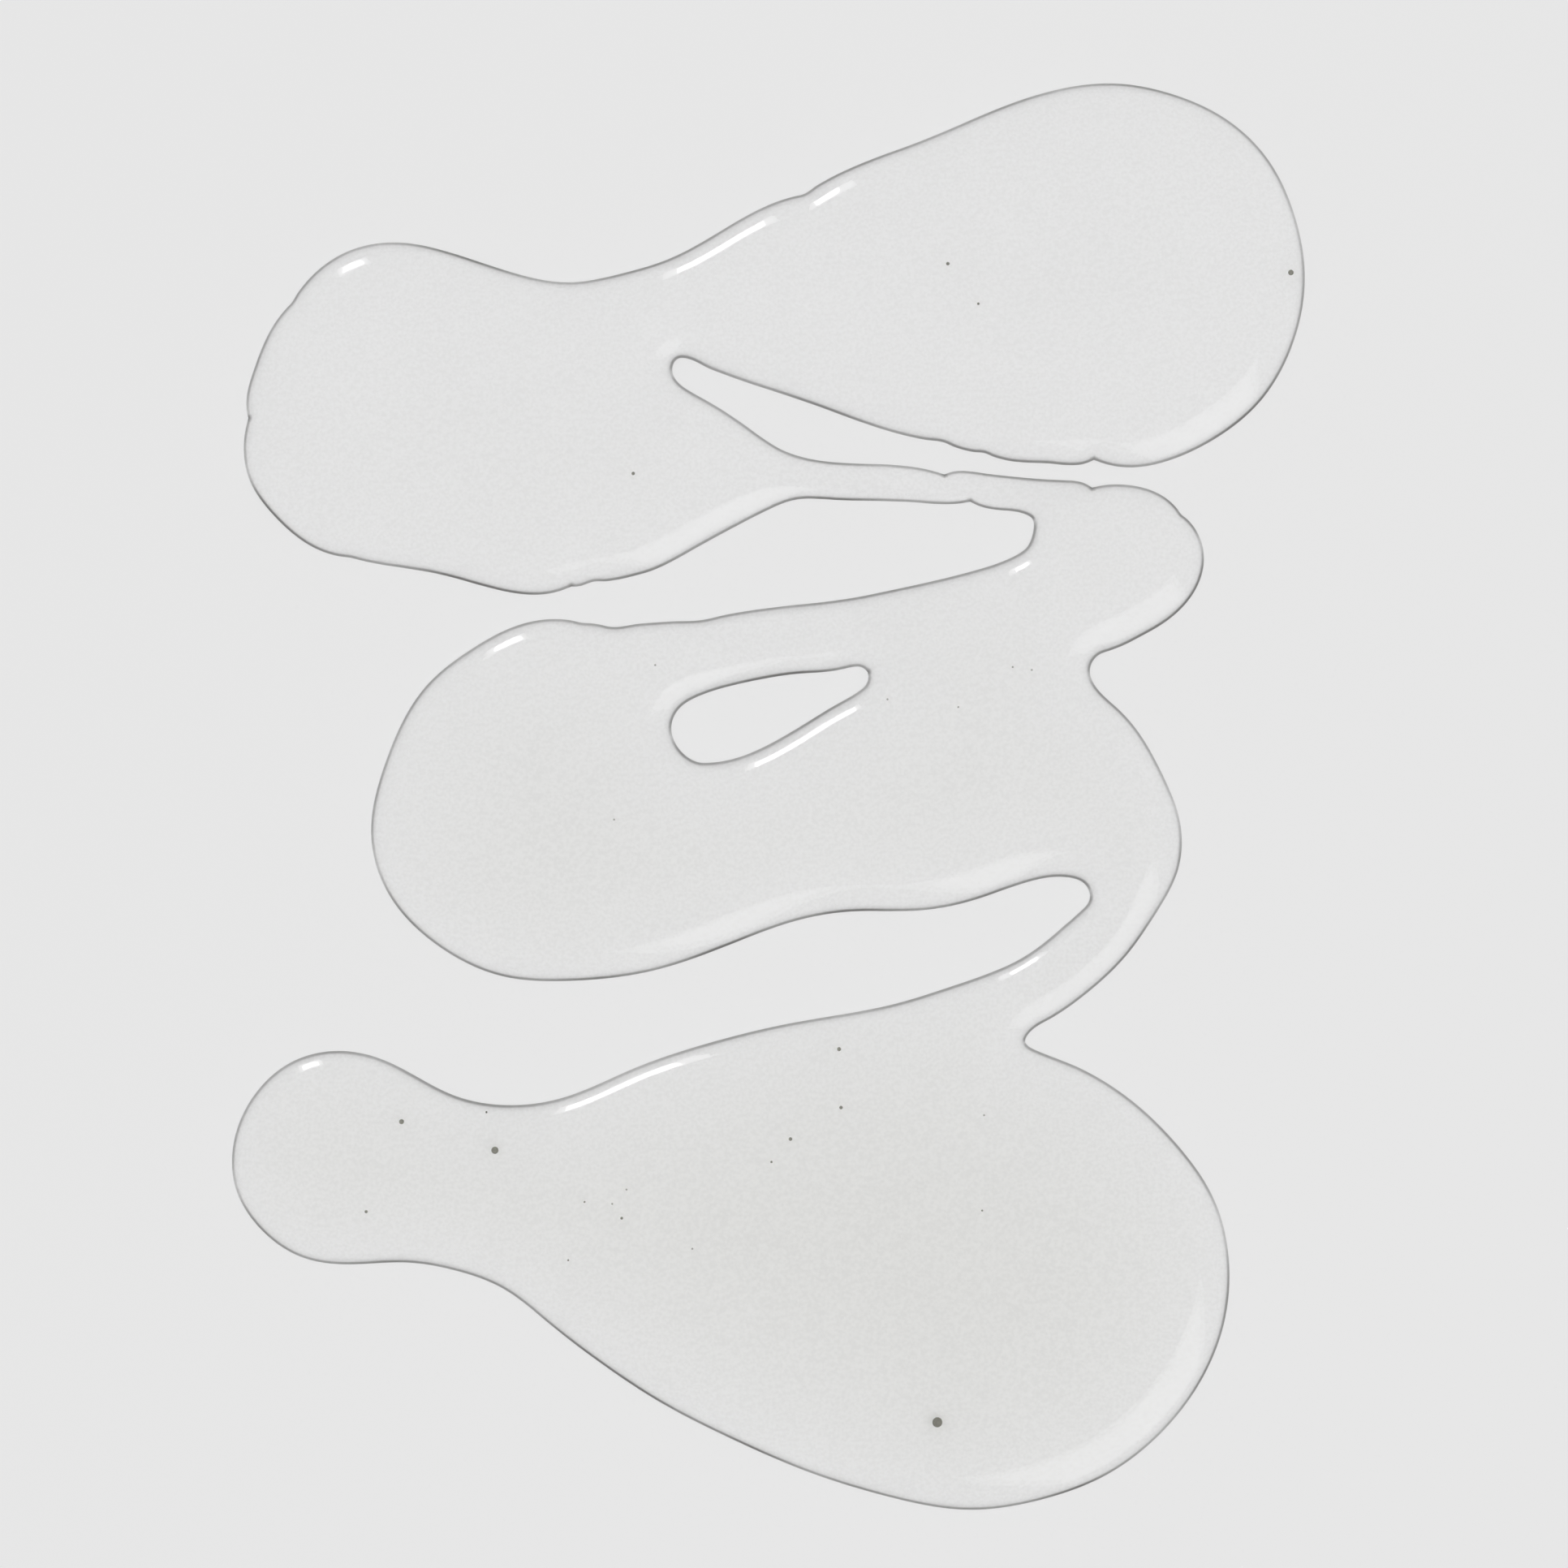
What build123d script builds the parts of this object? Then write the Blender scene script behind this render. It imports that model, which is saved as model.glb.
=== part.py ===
from build123d import *
import os

os.makedirs("parts", exist_ok=True)

# A smear of clear gel, laid on a flat surface in one zigzag stroke, with air bubbles in it.
# Lengths are in millimetres. The origin is the middle of the underside's bounding box,
# +Y runs from the foot lobe up to the two crown lobes, and +Z points up out of the surface.

FILM = 1.9                      # height of the gel where it lies level
EDGE_ROUND = 0.6 * FILM         # radius of the rounded shoulder along every free edge
BUBBLE_LEVEL = 0.5 * FILM       # bubbles hang half way up the film
WALL_GAP = 0.02                 # space between a bubble and the wall of its pocket in the gel

# The outer outline, clockwise from a nick on the left rim. Each stretch is one smooth curve.
# Two stretches meet in a small nick, where two folds of the stroke ran together.
LEFT_CROWN = [(-50.2, 51.9), (-48.2, 54.6), (-44.6, 57.2), (-39.4, 58.3), (-33.0, 57.1),
              (-26.1, 54.9), (-20.8, 54.1), (-16.0, 54.9), (-10.4, 56.6), (-5.7, 59.1),
              (-0.3, 62.1), (3.5, 63.3)]
RIGHT_CROWN = [(3.5, 63.3), (9.5, 66.5), (16.4, 69.1), (24.2, 72.4), (31.0, 74.5), (36.6, 75.0),
               (42.1, 74.0), (48.2, 71.2), (52.6, 66.9), (55.2, 61.5), (56.4, 54.4), (55.1, 47.5),
               (51.5, 41.3), (47.1, 37.7), (42.9, 35.6), (38.5, 34.6), (34.2, 35.4)]
SLIT_ROOF_RIGHT = [(34.2, 35.4), (33.3, 35.0), (29.5, 35.0), (25.8, 35.2), (22.7, 36.1)]
SLIT_ROOF_MIDDLE = [(22.7, 36.1), (20.6, 36.4), (18.5, 37.2)]
SLIT_ROOF_LEFT = [(18.5, 37.2), (13.0, 38.3), (4.4, 41.3), (-4.2, 44.2), (-8.9, 46.1)]
SLIT_END = [(-8.9, 46.1), (-9.8, 45.8), (-10.1, 44.7), (-9.7, 43.8), (-8.0, 42.5), (-5.7, 41.2),
            (-1.4, 38.3), (1.2, 36.6), (3.7, 35.7), (11.4, 35.0), (18.5, 33.9)]
STRAP_TOP = [(18.5, 33.9), (19.3, 34.2), (22.2, 34.1), (26.7, 33.6), (31.0, 33.3), (33.2, 33.0),
             (34.0, 32.5)]
STRAP_ELBOW = [(34.0, 32.5), (34.8, 32.7), (37.8, 32.8), (41.0, 31.9), (43.4, 29.7)]
RIGHT_SIDE = [(43.4, 29.7), (45.2, 27.6), (45.8, 24.9), (44.7, 21.4), (41.8, 18.4), (37.9, 16.2),
              (36.1, 15.4), (34.6, 14.8), (33.8, 13.3), (34.4, 11.6), (36.5, 9.5), (38.3, 7.6),
              (41.4, 2.4), (43.3, -2.8), (43.1, -7.6), (40.6, -12.5), (37.9, -16.4), (33.2, -20.9),
              (29.4, -23.5), (27.3, -25.0), (27.0, -25.6), (28.5, -26.8), (32.7, -28.5),
              (37.5, -31.4)]
FOOT = [(43.0, -36.6), (46.7, -42.0), (48.4, -48.5), (47.9, -55.4), (45.5, -61.4), (41.3, -66.9),
        (35.4, -71.4), (28.4, -74.0), (21.2, -75.0), (12.9, -73.7), (4.4, -71.1), (-4.2, -67.4),
        (-11.9, -63.4), (-17.9, -59.4), (-23.0, -55.5), (-28.0, -51.7), (-33.1, -49.8),
        (-38.1, -49.0), (-44.2, -49.2), (-48.9, -48.5), (-53.4, -45.5), (-56.1, -41.0),
        (-56.3, -36.6), (-54.2, -31.5), (-50.4, -28.0), (-45.4, -26.7), (-40.6, -27.6),
        (-33.0, -31.4), (-27.4, -32.4), (-21.9, -31.7)]
LOWER_BAY = [(-14.3, -28.6), (-7.4, -26.2), (2.8, -23.7), (13.1, -21.8), (20.7, -19.4), (26.7, -16.9),
             (31.0, -13.6), (32.8, -12.0), (33.7, -10.9), (33.4, -9.4), (31.4, -8.5), (27.6, -8.9),
             (21.6, -10.9), (15.7, -12.0), (8.8, -12.1), (2.8, -13.1)]
MIDDLE_LOBE = [(-4.1, -15.6), (-12.5, -18.4), (-21.1, -19.4), (-28.0, -18.9), (-34.9, -15.6),
               (-39.7, -10.7), (-41.8, -4.2), (-40.3, 3.6), (-35.8, 11.9), (-31.3, 15.5),
               (-26.2, 18.1), (-22.8, 18.7), (-19.6, 18.3)]
BAY_FLOOR_LEFT = [(-19.6, 18.3), (-18.2, 18.2), (-16.8, 17.9)]
BAY_FLOOR = [(-16.8, 17.9), (-12.5, 18.3), (-7.0, 18.6)]
BAY_END = [(-7.0, 18.6), (0.3, 19.9), (8.7, 20.9), (17.4, 22.8), (24.2, 24.6), (26.0, 25.4),
           (27.1, 26.2), (27.8, 27.9), (27.7, 29.2), (26.9, 29.7), (24.2, 30.1), (22.5, 30.4),
           (21.2, 31.0)]
BAY_ROOF = [(21.2, 31.0), (20.2, 30.8), (15.5, 30.9), (6.3, 31.2), (2.9, 31.2), (-0.5, 29.9),
            (-8.2, 25.8), (-13.3, 23.4), (-15.1, 23.0), (-17.4, 22.6), (-18.3, 22.6), (-19.5, 22.2),
            (-20.7, 22.1)]
LEFT_BELLY = [(-20.7, 22.1), (-24.4, 21.2), (-28.8, 21.8), (-34.8, 23.4), (-41.9, 24.6),
              (-44.0, 25.1)]
LEFT_RIM = [(-44.0, 25.1), (-47.9, 26.2), (-52.0, 29.5), (-54.6, 33.3), (-55.2, 36.9), (-54.7, 39.8)]
LEFT_SHOULDER = [(-54.7, 39.8), (-54.9, 40.7), (-54.1, 45.0), (-52.0, 49.7), (-50.2, 51.9)]
OUTER_STRETCHES = [LEFT_CROWN, RIGHT_CROWN, SLIT_ROOF_RIGHT, SLIT_ROOF_MIDDLE, SLIT_ROOF_LEFT,
                   SLIT_END, STRAP_TOP, STRAP_ELBOW, RIGHT_SIDE + FOOT + LOWER_BAY + MIDDLE_LOBE,
                   BAY_FLOOR_LEFT, BAY_FLOOR, BAY_END, BAY_ROOF, LEFT_BELLY, LEFT_RIM,
                   LEFT_SHOULDER]

# The teardrop hole in the middle of the smear: two smooth sides that meet in its blunt tip.
HOLE_UPPER_SIDE = [(-7.2, 3.6), (-9.1, 4.7), (-10.2, 7.4), (-9.5, 9.1), (-7.2, 10.6), (-2.3, 12.0),
                   (3.2, 12.9), (7.9, 13.4), (9.7, 13.6), (10.4, 13.1)]
HOLE_LOWER_SIDE = [(10.4, 13.1), (10.3, 11.9), (8.8, 10.7), (4.6, 8.2), (-0.6, 5.2), (-4.1, 3.9),
                   (-7.2, 3.6)]
HOLE_STRETCHES = [HOLE_UPPER_SIDE, HOLE_LOWER_SIDE]

# Air bubbles, by the place they sit in: centre x, centre y, diameter.
BUBBLES = {
    "bubble_foot_heel": (17.7, -65.6, 1.05),
    "bubble_foot_front": (22.4, -43.4, 0.2),
    "bubble_foot_collar": (7.4, -26.5, 0.42),
    "bubble_foot_collar_right": (7.6, -32.6, 0.37),
    "bubble_foot_collar_left": (2.3, -35.9, 0.37),
    "bubble_foot_middle": (0.3, -38.3, 0.24),
    "bubble_instep_right": (-15.4, -44.2, 0.3),
    "bubble_instep_left": (-19.3, -42.5, 0.2),
    "bubble_instep_low": (-21.0, -48.6, 0.2),
    "bubble_toe_right": (-28.7, -37.1, 0.75),
    "bubble_toe_upper": (-29.6, -33.1, 0.22),
    "bubble_toe_middle": (-38.5, -34.1, 0.52),
    "bubble_toe_low": (-42.2, -43.5, 0.33),
    "bubble_right_crown_rim": (54.8, 55.0, 0.58),
    "bubble_right_crown_left": (18.8, 55.9, 0.36),
    "bubble_right_crown_right": (22.0, 51.7, 0.27),
    "bubble_left_crown": (-14.2, 33.9, 0.36),
}

# Pin-point bubbles, all of one size and kept together by lobe: centre x, centre y.
MICROBUBBLE_DIAMETER = 0.2
MICROBUBBLES = {
    "microbubbles_foot": [(-14.9, -41.2), (22.6, -33.4), (-8.0, -47.4), (-16.4, -42.7)],
    "microbubbles_middle": [(-16.2, -2.4), (19.9, 9.4), (27.6, 13.3), (-11.9, 13.8), (25.6, 13.6),
                            (12.5, 10.2)],
}


def closed_face(stretches):
    """The flat face inside a closed run of stretches, each a curve through its own points."""
    return make_face([Spline(*points) for points in stretches])


def air_ball(x, y, diameter):
    """One round bubble at its level in the film."""
    return Pos(x, y, BUBBLE_LEVEL) * Sphere(diameter / 2)


def gel_sheet():
    """The gel before any bubbles: a level film with the hole in it and rounded shoulders."""
    footprint = closed_face(OUTER_STRETCHES) - closed_face(HOLE_STRETCHES)
    slab = extrude(footprint, FILM)
    top_edges = slab.faces().sort_by(Axis.Z)[-1].edges()
    return fillet(top_edges, EDGE_ROUND)


def bubble_pockets():
    """The round pockets in the gel, each a little wider than the bubble in it."""
    pockets = [air_ball(x, y, diameter + 2 * WALL_GAP) for x, y, diameter in BUBBLES.values()]
    for places in MICROBUBBLES.values():
        pockets += [air_ball(x, y, MICROBUBBLE_DIAMETER + 2 * WALL_GAP) for x, y in places]
    return pockets


def microbubble_group(places):
    """The pin-point bubbles of one lobe, as separate solids under one name."""
    return Compound(children=[air_ball(x, y, MICROBUBBLE_DIAMETER) for x, y in places])


def save(shape, name):
    """Write one named piece."""
    export_step(shape, f"parts/{name}.step")


save(gel_sheet() - bubble_pockets(), "gel_body")
for bubble_name, (centre_x, centre_y, diameter) in BUBBLES.items():
    save(air_ball(centre_x, centre_y, diameter), bubble_name)
for group_name, centres in MICROBUBBLES.items():
    save(microbubble_group(centres), group_name)
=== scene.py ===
import math

import bmesh
import bpy
import numpy as np
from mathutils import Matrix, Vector, geometry, kdtree, noise


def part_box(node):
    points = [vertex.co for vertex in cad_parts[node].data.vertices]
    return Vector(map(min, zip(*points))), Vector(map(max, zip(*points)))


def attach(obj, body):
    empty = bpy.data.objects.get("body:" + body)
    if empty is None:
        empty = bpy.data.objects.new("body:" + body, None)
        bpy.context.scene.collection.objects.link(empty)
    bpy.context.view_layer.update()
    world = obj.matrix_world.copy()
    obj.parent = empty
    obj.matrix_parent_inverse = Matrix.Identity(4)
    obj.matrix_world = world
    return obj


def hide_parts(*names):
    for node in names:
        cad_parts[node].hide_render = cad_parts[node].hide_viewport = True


# A zigzag smear of clear gel with trapped air, lying on a plain pale floor and seen from straight above.
# Lengths are in metres, in the part's own frame, unless a name or a comment says millimetres.
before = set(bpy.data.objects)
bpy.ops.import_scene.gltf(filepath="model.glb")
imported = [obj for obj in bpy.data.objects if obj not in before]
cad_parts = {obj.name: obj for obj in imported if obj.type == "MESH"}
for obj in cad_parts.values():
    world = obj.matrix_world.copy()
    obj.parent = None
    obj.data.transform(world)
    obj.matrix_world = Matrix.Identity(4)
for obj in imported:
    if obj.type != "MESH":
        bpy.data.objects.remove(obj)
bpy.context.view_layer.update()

MM = 0.001
GEL = "gel_body"
gel_low, gel_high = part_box(GEL)
FILM = gel_high.z                       # height of the gel where it is level
LENGTH = gel_high.y - gel_low.y         # length of the whole smear

# The shape of the gel.
MENISCUS = 2.3 * MM                     # distance over which surface tension rounds the film to its edge
EDGE_STEP = 0.22 * MM                   # spacing of points along the contact line
# How far in from the edge each row of points lies, in millimetres.
ROW_DEPTHS = [0.03, 0.08, 0.14, 0.20, 0.27, 0.36, 0.48, 0.62, 0.80, 1.02, 1.30, 1.65]
ROW_SPARE = 0.97                        # a row point nearer to an edge than this share of its depth is dropped
GRID_STEP = 0.5 * MM                    # spacing of points where the gel is level
CORNER_TURN = math.radians(22)          # the outline turns more than this only at a nick
FLAT = 0.01 * MM                        # a face no higher than this belongs to the underside
MERGE = 1e-7                            # points closer than this many millimetres are one
SETTLED = 1e-16                         # share of its first error at which the gel's height is good enough

# The shape of the air.
BALL_SPARE = 1.05                       # points of one ball lie within this many diameters of each other
BALL_FINENESS = 3                       # subdivisions of the icosphere

# Painted shade: a dark line painted into the gel's colour along the contact line.
RIM_MIDDLE = 0.15 * MM                  # where the line is darkest, in from the contact line
RIM_REACH = 0.22 * MM                   # from there to where the gel is clear again
RIM_LEVEL = 0.85                        # usual darkness of the line
RIM_UNEVEN = 0.35                       # how much its darkness wanders
RIM_PATCH = 9 * MM                      # size of the lighter and darker stretches of the line
RIM_AXIS = np.array([0.97, 0.26])       # the line is faint where the edge faces along this direction
RIM_FAINT = 0.5                         # share of the darkness lost there
RIM_NARROW = 30                         # a higher power keeps the faint stretches shorter
RIM_LIT = 0.25                          # share of the darkness lost on the side of the key light
NICK_DOT = 0.5 * MM                     # NICK_DOT = 0.5 * MM # reach of the dot of painted shade at each nick

# Looks.
WHITE = (1.0, 1.0, 1.0)
GEL_IOR = 1.35
BODY = 9 * MM                           # distance in from the edge over which the gel gains its tint
TINT_START = 0.30 * LENGTH              # the tint grows from here, up at the crown lobes,
TINT_END = -0.17 * LENGTH               # to here, down at the foot lobe
LEAST_TINT = 0.05
GEL_TINT = (0.92, 0.92, 0.90)
GEL_GRAIN = 0.35 * MM
GRAIN_SHADE = (0.90, 0.90, 0.90)
# Colour of the painted shade along the edge.
RIM_SHADE_COLOUR = (0.13, 0.125, 0.12)
# Darkest and lightest painted shade of the air, by the first word of a node's name.
AIR_PAINTED_SHADES = {
    "bubble": ((0.27, 0.265, 0.24), (0.38, 0.375, 0.32)),
    "microbubbles": ((0.45, 0.44, 0.41), (0.60, 0.59, 0.55)),
}
# Size of the lighter and darker patches in the air's painted shade.
AIR_SHADE_MOTTLE = 0.25 * MM
FLOOR_LIGHTNESS = 0.985
FLOOR_Z = 0.02 * MM                     # the floor lies just inside the gel, which wets it
FLOOR_REACH = 8 * LENGTH

# Light. Radiance is in watts per square metre per steradian.
# Tilt is from straight above and across is the angle that a light spans, both in degrees.
SKY = 0.675
FAR = 60 * LENGTH
NEAR = 59 * LENGTH                      # lights in one direction add up, as long as their distances differ
KEY_SIDE = (-0.45, 0.89)
SOFT_SIDE = (0.64, -0.77)
LIGHTS = [
    dict(name="soft_box", toward=SOFT_SIDE, tilt=43, across=38, distance=FAR, radiance=1.4),
    # The sheen shows only in reflections, and adds to the soft box.
    dict(name="soft_box_sheen", toward=SOFT_SIDE, tilt=43, across=32, distance=NEAR, radiance=1.0,
         hidden_from=["diffuse", "transmission"]),
    # The key light shows as glints, white in the middle and softer round it.
    # Its glow doesn't reach the bare floor, but lightens the floor that is seen through the gel.
    dict(name="key_glow", toward=KEY_SIDE, tilt=50, across=12, distance=FAR, radiance=5,
         hidden_from=["diffuse"]),
    dict(name="key_core", toward=KEY_SIDE, tilt=50, across=8, distance=NEAR, radiance=24,
         hidden_from=["diffuse", "transmission"]),
]

# Camera.
LENS = 100
SENSOR = 36
VIEW_WIDTH = 1.099 * LENGTH
VIEW_CENTRE = (0.0108 * LENGTH, 0.0089 * LENGTH)


def signed_area(loop):
    """Area of a closed plan loop, negative when it runs clockwise."""
    x, y = loop.T
    return 0.5 * float(np.sum(x * np.roll(y, -1) - np.roll(x, -1) * y))


def underside_loops(node):
    """The closed boundary loops of a CAD node's flat underside, as arrays of x, y, largest first."""
    following = {}
    for face in node.data.polygons:
        corners = [node.data.vertices[i].co for i in face.vertices]
        if max(c.z for c in corners) > FLAT:
            continue
        keys = [(round(c.x, 7), round(c.y, 7)) for c in corners]
        for a, b in zip(keys, keys[1:] + keys[:1]):
            if a in following.get(b, ()):
                following[b].remove(a)
            elif a != b:
                following.setdefault(a, []).append(b)
    ahead = {a: bs[0] for a, bs in following.items() if bs}
    loops = []
    while ahead:
        loop = [next(iter(ahead))]
        while loop[-1] in ahead:
            loop.append(ahead.pop(loop[-1]))
        loops.append(np.array(loop[:-1]))
    return sorted(loops, key=lambda p: -abs(signed_area(p)))


def loop_turns(loop):
    """Length and unit direction of each side of a loop, and how far the loop turns at each side's start."""
    ahead = np.roll(loop, -1, 0) - loop
    length = np.hypot(*ahead.T)
    unit = ahead / length[:, None]
    turn = np.arccos(np.clip(np.sum(np.roll(unit, 1, 0) * unit, 1), -1, 1))
    return length, unit, turn


def smooth_loop(loop):
    """The loop refined to EDGE_STEP along curves through its points, sharp only at its nicks."""
    length, unit, turn = loop_turns(loop)
    behind = np.roll(unit, 1, 0)
    share = (length / (length + np.roll(length, 1)))[:, None]
    tangent = behind * share + unit * (1 - share)
    tangent /= np.hypot(*tangent.T)[:, None]
    corner = turn > CORNER_TURN
    points = []
    for i in range(len(loop)):
        j = (i + 1) % len(loop)
        leave = 2 * unit[i] * (unit[i] @ tangent[j]) - tangent[j] if corner[i] else tangent[i]
        arrive = 2 * unit[i] * (unit[i] @ tangent[i]) - tangent[i] if corner[j] else tangent[j]
        if corner[i] and corner[j]:
            leave = arrive = unit[i]
        count = max(1, math.ceil(length[i] / EDGE_STEP))
        t = (np.arange(count) / count)[:, None]
        a, b = loop[i], loop[j]
        points.append((2 * t**3 - 3 * t**2 + 1) * a + (t**3 - 2 * t**2 + t) * leave * length[i]
                      + (-2 * t**3 + 3 * t**2) * b + (t**3 - t**2) * arrive * length[i])
    return np.concatenate(points)


def inward_normals(loop, outer):
    """Unit vectors from each point of a loop into the gel."""
    along = np.roll(loop, -1, 0) - np.roll(loop, 1, 0)
    along /= np.hypot(*along.T)[:, None]
    left = np.stack([-along[:, 1], along[:, 0]], 1)
    return left if (signed_area(loop) > 0) == outer else -left


def inside(points, loops):
    """Which points lie inside the first loop and outside the others."""
    a = np.concatenate(loops)
    b = np.concatenate([np.roll(loop, -1, 0) for loop in loops])
    x, y = points[:, :1], points[:, 1:]
    crosses = (a[:, 1] > y) != (b[:, 1] > y)
    with np.errstate(divide="ignore", invalid="ignore"):
        at = a[:, 0] + (y - a[:, 1]) / (b[:, 1] - a[:, 1]) * (b[:, 0] - a[:, 0])
    return (crosses & (x < at)).sum(1) % 2 == 1


def tree_of(points):
    """A search tree over plan points."""
    tree = kdtree.KDTree(len(points))
    for i, (x, y) in enumerate(points):
        tree.insert((x, y, 0), i)
    tree.balance()
    return tree


def depth_in(points, near_edge):
    """How far each point is from the contact line."""
    return np.array([near_edge.find((x, y, 0))[2] for x, y in points])


def row_points(loops, near_edge):
    """Rows of points that follow the contact line, closest together next to it."""
    rows = []
    for place, loop in enumerate(loops):
        inward = inward_normals(loop, place == 0)
        for depth in ROW_DEPTHS:
            row = loop + inward * depth * MM
            rows.append(row[depth_in(row, near_edge) > ROW_SPARE * depth * MM])
    return np.concatenate(rows)


def grid_points(loops, near_edge):
    """A triangular grid of points over the gel, clear of the rows."""
    low, high = loops[0].min(0), loops[0].max(0)
    xs = np.arange(low[0], high[0], GRID_STEP)
    clear = ROW_DEPTHS[-1] * MM + GRID_STEP / 2
    lines = []
    for k, y in enumerate(np.arange(low[1], high[1], GRID_STEP * math.sqrt(3) / 2)):
        line = np.stack([xs + (k % 2) * GRID_STEP / 2, np.full(len(xs), y)], 1)
        line = line[inside(line, loops)]
        if len(line):
            lines.append(line[depth_in(line, near_edge) > clear])
    return np.concatenate(lines)


def triangles_over(points, loops):
    """Triangles that join the points and keep to the gel. The contact line's points come first in both."""
    segments, start = [], 0
    for loop in loops:
        count = len(loop)
        segments += [(start + i, start + (i + 1) % count) for i in range(count)]
        start += count
    flat = [Vector(p) / MM for p in points.tolist()]
    made = geometry.delaunay_2d_cdt(flat, segments, [], 0, MERGE)
    corners = np.array(made[0])[:, :2] * MM
    faces = np.array(made[2])
    only_edge = (faces < start).all(1)
    keep = np.ones(len(faces), bool)
    keep[only_edge] = inside(corners[faces[only_edge]].mean(1), loops)
    faces = faces[keep]
    a, b, c = (corners[faces[:, k]] for k in range(3))
    upward = np.cross(b - a, c - a) > 0
    return corners, np.where(upward[:, None], faces, faces[:, ::-1])


def settled_height(points, faces, pinned):
    """Height of a liquid film held level by its weight and rounded by surface tension, 0 where pinned.

    It solves height - MENISCUS^2 * laplacian(height) = FILM over the triangles, by conjugate gradients.
    """
    a, b, c = (points[faces[:, k]] for k in range(3))
    area = np.cross(b - a, c - a) / 2
    count = len(points)
    mass = sum(np.bincount(faces[:, k], area / 3, count) for k in range(3))
    starts, ends, weights = [], [], []
    for k in range(3):
        i, j, o = faces[:, k], faces[:, (k + 1) % 3], faces[:, (k + 2) % 3]
        u, v = points[i] - points[o], points[j] - points[o]
        starts.append(i)
        ends.append(j)
        weights.append(MENISCUS**2 * np.sum(u * v, 1) / (4 * area))
    i, j, w = np.concatenate(starts), np.concatenate(ends), np.concatenate(weights)
    diagonal = mass + np.bincount(i, w, count) + np.bincount(j, w, count)
    free = ~pinned

    def times(h):
        return (diagonal * h - np.bincount(i, w * h[j], count) - np.bincount(j, w * h[i], count)) * free

    h = np.zeros(count)
    left = mass * FILM * free
    push = left / diagonal
    way, score = push.copy(), left @ push
    goal = SETTLED * score
    while score > goal:
        moved = times(way)
        step = score / (way @ moved)
        h += step * way
        left -= step * moved
        push = left / diagonal
        score, before = left @ push, score
        way = push + way * score / before
    return h


def rim_shade_strength(points, edge, facing, nicks, near_edge):
    """How dark the painted shade at the rim is at each point, from 0 to 1: a soft line inside the edge, a dot
    at each nick.
    """
    near_nick = tree_of(nicks)
    strength = np.zeros(len(points))
    for k, (x, y) in enumerate(points):
        _, nearest, depth = near_edge.find((x, y, 0))
        if depth >= NICK_DOT:
            continue
        line = 1 - ((depth - RIM_MIDDLE) / RIM_REACH) ** 2
        line *= RIM_LEVEL + RIM_UNEVEN * noise.noise(Vector((*edge[nearest], 0)) / RIM_PATCH)
        line *= 1 - RIM_FAINT * abs(facing[nearest] @ RIM_AXIS) ** RIM_NARROW
        line *= 1 - RIM_LIT * max(0, -facing[nearest] @ np.array(KEY_SIDE))
        dot = 1 - (near_nick.find((x, y, 0))[2] / NICK_DOT) ** 2
        strength[k] = max(0, line, dot)
    return strength.clip(0, 1)


def add_object(name, verts, faces, material):
    """A smooth-shaded mesh object made of triangles."""
    mesh = bpy.data.meshes.new(name)
    mesh.vertices.add(len(verts))
    mesh.vertices.foreach_set("co", np.asarray(verts, np.float32).ravel())
    mesh.loops.add(faces.size)
    mesh.loops.foreach_set("vertex_index", np.asarray(faces, np.int32).ravel())
    mesh.polygons.add(len(faces))
    mesh.polygons.foreach_set("loop_start", np.arange(0, faces.size, 3, dtype=np.int32))
    mesh.update(calc_edges=True)
    mesh.shade_smooth()
    mesh.materials.append(material)
    made = bpy.data.objects.new(name, mesh)
    bpy.context.scene.collection.objects.link(made)
    return made


def paint(gel, name, values, on_edge):
    """Gives the gel a number at each point of its top, and the same below each."""
    layer = gel.data.attributes.new(name, "FLOAT", "POINT")
    layer.data.foreach_set("value", np.concatenate([values, values[on_edge:]]).astype(np.float32))


def gel_smear():
    """The gel: a flat underside with the CAD outline and a top rounded down to it, closed into one solid."""
    outlines = underside_loops(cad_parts[GEL])
    nicks = np.concatenate([loop[loop_turns(loop)[2] > CORNER_TURN] for loop in outlines])
    loops = [smooth_loop(loop) for loop in outlines]
    edge = np.concatenate(loops)
    facing = np.concatenate([inward_normals(loop, place == 0) for place, loop in enumerate(loops)])
    near_edge = tree_of(edge)
    points = np.concatenate([edge, row_points(loops, near_edge), grid_points(loops, near_edge)])
    corners, faces = triangles_over(points, loops)
    count, on_edge = len(corners), len(edge)
    numbers = np.arange(count)
    height = settled_height(corners, faces, numbers < on_edge)

    # The underside has its own points, except along the contact line.
    top = np.column_stack([corners, height])
    under = np.column_stack([corners[on_edge:], np.zeros(count - on_edge)])
    under_numbers = np.where(numbers < on_edge, numbers, numbers + count - on_edge)
    made = add_object("gel_smear", np.concatenate([top, under]),
                      np.concatenate([faces, under_numbers[faces[:, ::-1]]]), clear_gel())
    # The rim's painted shade is stored on the mesh as a number at each point.
    paint(made, "rim", rim_shade_strength(corners, edge, facing, nicks, near_edge), on_edge)
    paint(made, "body", 1 - np.exp(-depth_in(corners, near_edge) / BODY), on_edge)
    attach(made, "root")
    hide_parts(GEL)


def ball_centres(node):
    """Centres of the equal air balls in a node, and their radius."""
    low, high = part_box(node.name)
    across = high.z - low.z
    left = np.array([node.matrix_world @ v.co for v in node.data.vertices])
    centres = []
    while len(left):
        near = np.linalg.norm(left - left[0], axis=1) < BALL_SPARE * across
        ball = left[near]
        centres.append(Vector((ball.min(0) + ball.max(0)) / 2))
        left = left[~near]
    return centres, across / 2


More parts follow.
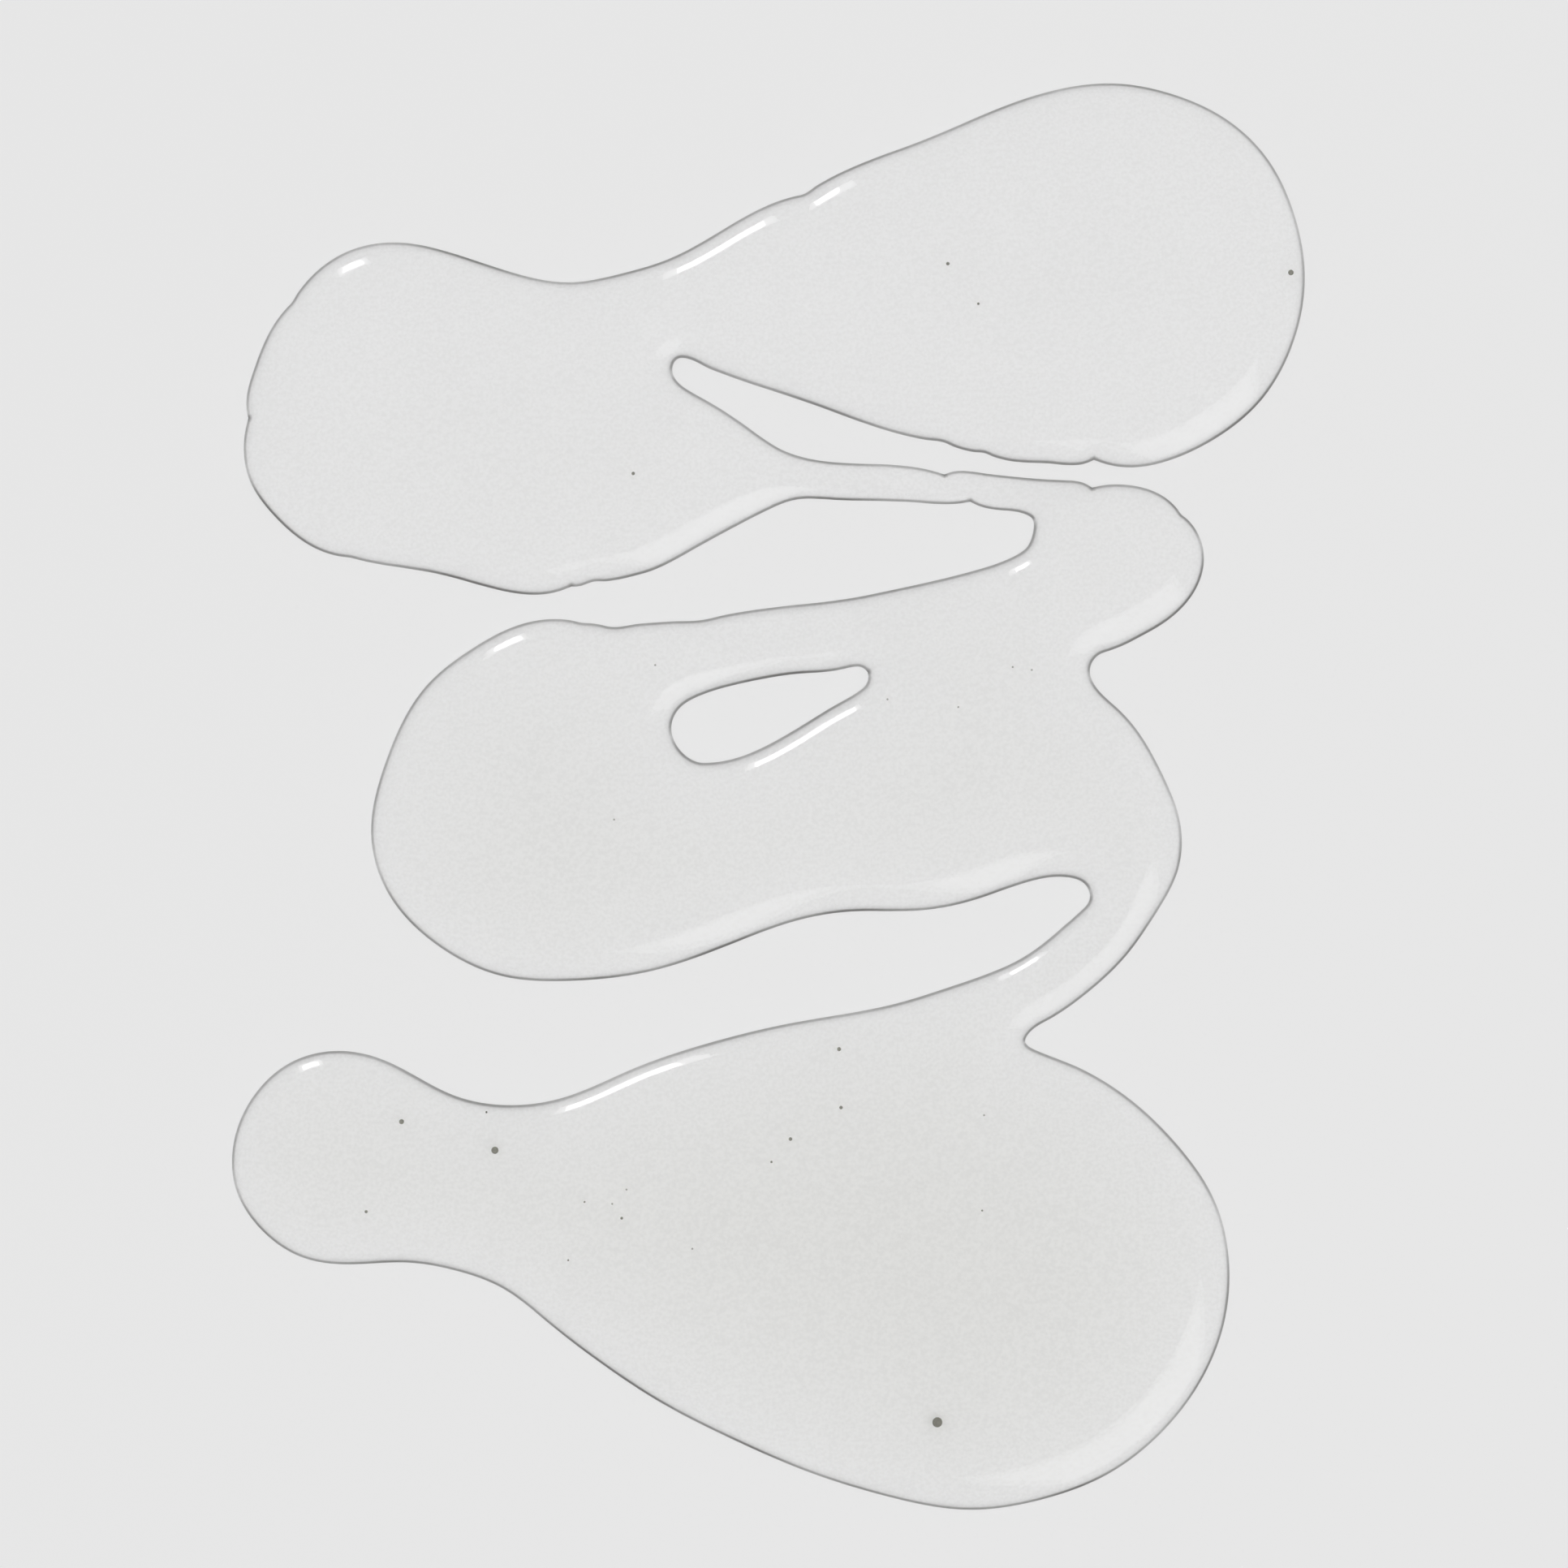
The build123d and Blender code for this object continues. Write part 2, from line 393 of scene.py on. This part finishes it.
def trapped_bubbles(node, material):
    """The air balls of one CAD node, as smooth spheres."""
    shape = bmesh.new()
    centres, radius = ball_centres(node)
    for centre in centres:
        ball = bmesh.ops.create_icosphere(shape, subdivisions=BALL_FINENESS, radius=radius)
        bmesh.ops.translate(shape, verts=ball["verts"], vec=centre)
    mesh = bpy.data.meshes.new(f"air_{node.name}")
    shape.to_mesh(mesh)
    shape.free()
    mesh.shade_smooth()
    mesh.materials.append(material)
    made = bpy.data.objects.new(mesh.name, mesh)
    bpy.context.scene.collection.objects.link(made)
    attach(made, "root")
    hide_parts(node.name)


class Nodes:
    """A new node material with short ways to add nodes and link them."""

    def __init__(self, name):
        self.material = bpy.data.materials.new(name)
        self.material.use_nodes = True
        self.tree = self.material.node_tree
        self.shader = self.tree.nodes["Principled BSDF"]

    def add(self, kind, **settings):
        node = self.tree.nodes.new(kind)
        for name, value in settings.items():
            setattr(node, name, value)
        return node

    def link(self, output, socket):
        self.tree.links.new(output, socket)

    def position(self):
        """The point in the part's own frame."""
        return self.add("ShaderNodeTexCoord").outputs["Object"]

    def grain(self, size, detail):
        """Noise from 0 to 1 whose features are about this size."""
        texture = self.add("ShaderNodeTexNoise")
        texture.inputs["Scale"].default_value = 1 / size
        texture.inputs["Detail"].default_value = detail
        self.link(self.position(), texture.inputs["Vector"])
        return texture.outputs["Fac"]

    def spread(self, value, start, end, low, high):
        """The value mapped from start..end to low..high, and held there."""
        node = self.add("ShaderNodeMapRange")
        numbers = dict(zip(("From Min", "From Max", "To Min", "To Max"), (start, end, low, high)))
        for name, number in numbers.items():
            node.inputs[name].default_value = number
        self.link(value, node.inputs["Value"])
        return node.outputs["Result"]

    def layer(self, name):
        """A number painted on the mesh."""
        return self.add("ShaderNodeAttribute", attribute_name=name).outputs["Fac"]

    def times(self, first, second):
        """Two numbers multiplied."""
        node = self.add("ShaderNodeMath", operation="MULTIPLY")
        self.link(first, node.inputs[0])
        self.link(second, node.inputs[1])
        return node.outputs["Value"]

    def blend(self, amount, first, second, **settings):
        """Mixes two colours, each plain or an output, by amount. None mixes them in full."""
        node = self.add("ShaderNodeMix", data_type="RGBA", **settings)
        colours = [socket for socket in node.inputs if socket.type == "RGBA"]
        if amount is None:
            node.inputs["Factor"].default_value = 1
        else:
            self.link(amount, node.inputs["Factor"])
        for socket, colour in zip(colours, (first, second)):
            if isinstance(colour, tuple):
                socket.default_value = (*colour, 1)
            else:
                self.link(colour, socket)
        return node.outputs[2]


def clear_gel():
    """Clear wet gel: greyer and warmer in from the edge and towards the foot, grainy, with painted shade as a
    dark line along its edge.
    """
    made = Nodes("clear_gel")
    along = made.add("ShaderNodeSeparateXYZ")
    made.link(made.position(), along.inputs["Vector"])
    toward_foot = made.spread(along.outputs["Y"], TINT_START, TINT_END, LEAST_TINT, 1)
    depth = made.times(made.layer("body"), toward_foot)
    tint = made.blend(depth, WHITE, GEL_TINT)
    grain = made.spread(made.grain(GEL_GRAIN, 4), 0.38, 0.62, 0, 1)
    mottled = made.blend(grain, GRAIN_SHADE, WHITE)
    clear = made.blend(None, tint, mottled, blend_type="MULTIPLY")
    # Painted shade: the dark line along the edge is mixed into the colour.
    colour = made.blend(made.layer("rim"), clear, RIM_SHADE_COLOUR)
    made.link(colour, made.shader.inputs["Base Color"])
    made.shader.inputs["Transmission Weight"].default_value = 1
    made.shader.inputs["Roughness"].default_value = 0
    made.shader.inputs["IOR"].default_value = GEL_IOR
    return made.material


def trapped_air(name, dark, light):
    """Air in the gel, as a clear ball with painted shade: its dark tint stands in for sides that throw the
    light away.
    """
    made = Nodes(name)
    # Painted shade of the air, lighter and darker at random.
    painted_shade_mottle = made.spread(made.grain(AIR_SHADE_MOTTLE, 2), 0.3, 0.7, 0, 1)
    colour = made.blend(painted_shade_mottle, dark, light)
    made.link(colour, made.shader.inputs["Base Color"])
    made.shader.inputs["Transmission Weight"].default_value = 1
    made.shader.inputs["Roughness"].default_value = 0
    made.shader.inputs["IOR"].default_value = 1
    return made.material


def pale_floor():
    """Plain matt pale surface."""
    made = Nodes("pale_floor")
    made.shader.inputs["Base Color"].default_value = (FLOOR_LIGHTNESS, FLOOR_LIGHTNESS, FLOOR_LIGHTNESS, 1)
    made.shader.inputs["Roughness"].default_value = 1
    made.shader.inputs["Specular IOR Level"].default_value = 0
    return made.material


def add_floor():
    """A wide flat floor, just above the gel's underside."""
    mesh = bpy.data.meshes.new("floor")
    signs = ((-1, -1), (1, -1), (1, 1), (-1, 1))
    corners = [(x * FLOOR_REACH, y * FLOOR_REACH, FLOOR_Z) for x, y in signs]
    mesh.from_pydata(corners, [], [(0, 1, 2, 3)])
    mesh.materials.append(pale_floor())
    floor = bpy.data.objects.new("floor", mesh)
    bpy.context.scene.collection.objects.link(floor)


def add_sky():
    """Even white light from all round."""
    world = bpy.data.worlds.new("studio")
    world.use_nodes = True
    background = world.node_tree.nodes["Background"]
    background.inputs["Color"].default_value = (*WHITE, 1)
    background.inputs["Strength"].default_value = SKY
    bpy.context.scene.world = world


def add_softbox(name, toward, tilt, across, distance, radiance, hidden_from=()):
    """A square light that spans an angle, aimed at the gel from a direction in plan and a tilt."""
    side = 2 * distance * math.tan(math.radians(across / 2))
    light = bpy.data.lights.new(name, "AREA")
    light.size = side
    light.energy = radiance * math.pi * side**2
    place = Vector(toward).normalized() * math.sin(math.radians(tilt))
    away = Vector((place.x, place.y, math.cos(math.radians(tilt))))
    made = bpy.data.objects.new(name, light)
    made.location = away * distance
    made.rotation_euler = away.to_track_quat("Z", "Y").to_euler()
    for rays in hidden_from:
        setattr(made, f"visible_{rays}", False)
    bpy.context.scene.collection.objects.link(made)


def add_camera():
    """A long lens looking straight down, wide enough for VIEW_WIDTH."""
    camera = bpy.data.cameras.new("camera")
    camera.lens = LENS
    camera.sensor_width = SENSOR
    made = bpy.data.objects.new("camera", camera)
    made.location = (*VIEW_CENTRE, VIEW_WIDTH * LENS / SENSOR)
    bpy.context.scene.collection.objects.link(made)
    bpy.context.scene.camera = made


def set_light_paths():
    """Keeps colours as they are, and lets light pass sharply through the gel and back."""
    scene = bpy.context.scene
    scene.view_settings.view_transform = "Standard"
    scene.cycles.blur_glossy = 0
    scene.cycles.diffuse_bounces = 8


gel_smear()
# Each kind of air gets its own painted shade, lighter for the fine air.
air = {
    "bubble": trapped_air("trapped_air", *AIR_PAINTED_SHADES["bubble"]),
    "microbubbles": trapped_air("fine_air", *AIR_PAINTED_SHADES["microbubbles"]),
}
for name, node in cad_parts.items():
    kind = name.split("_")[0]
    if kind in air:
        trapped_bubbles(node, air[kind])
add_floor()
add_sky()
for light in LIGHTS:
    add_softbox(**light)
add_camera()
set_light_paths()
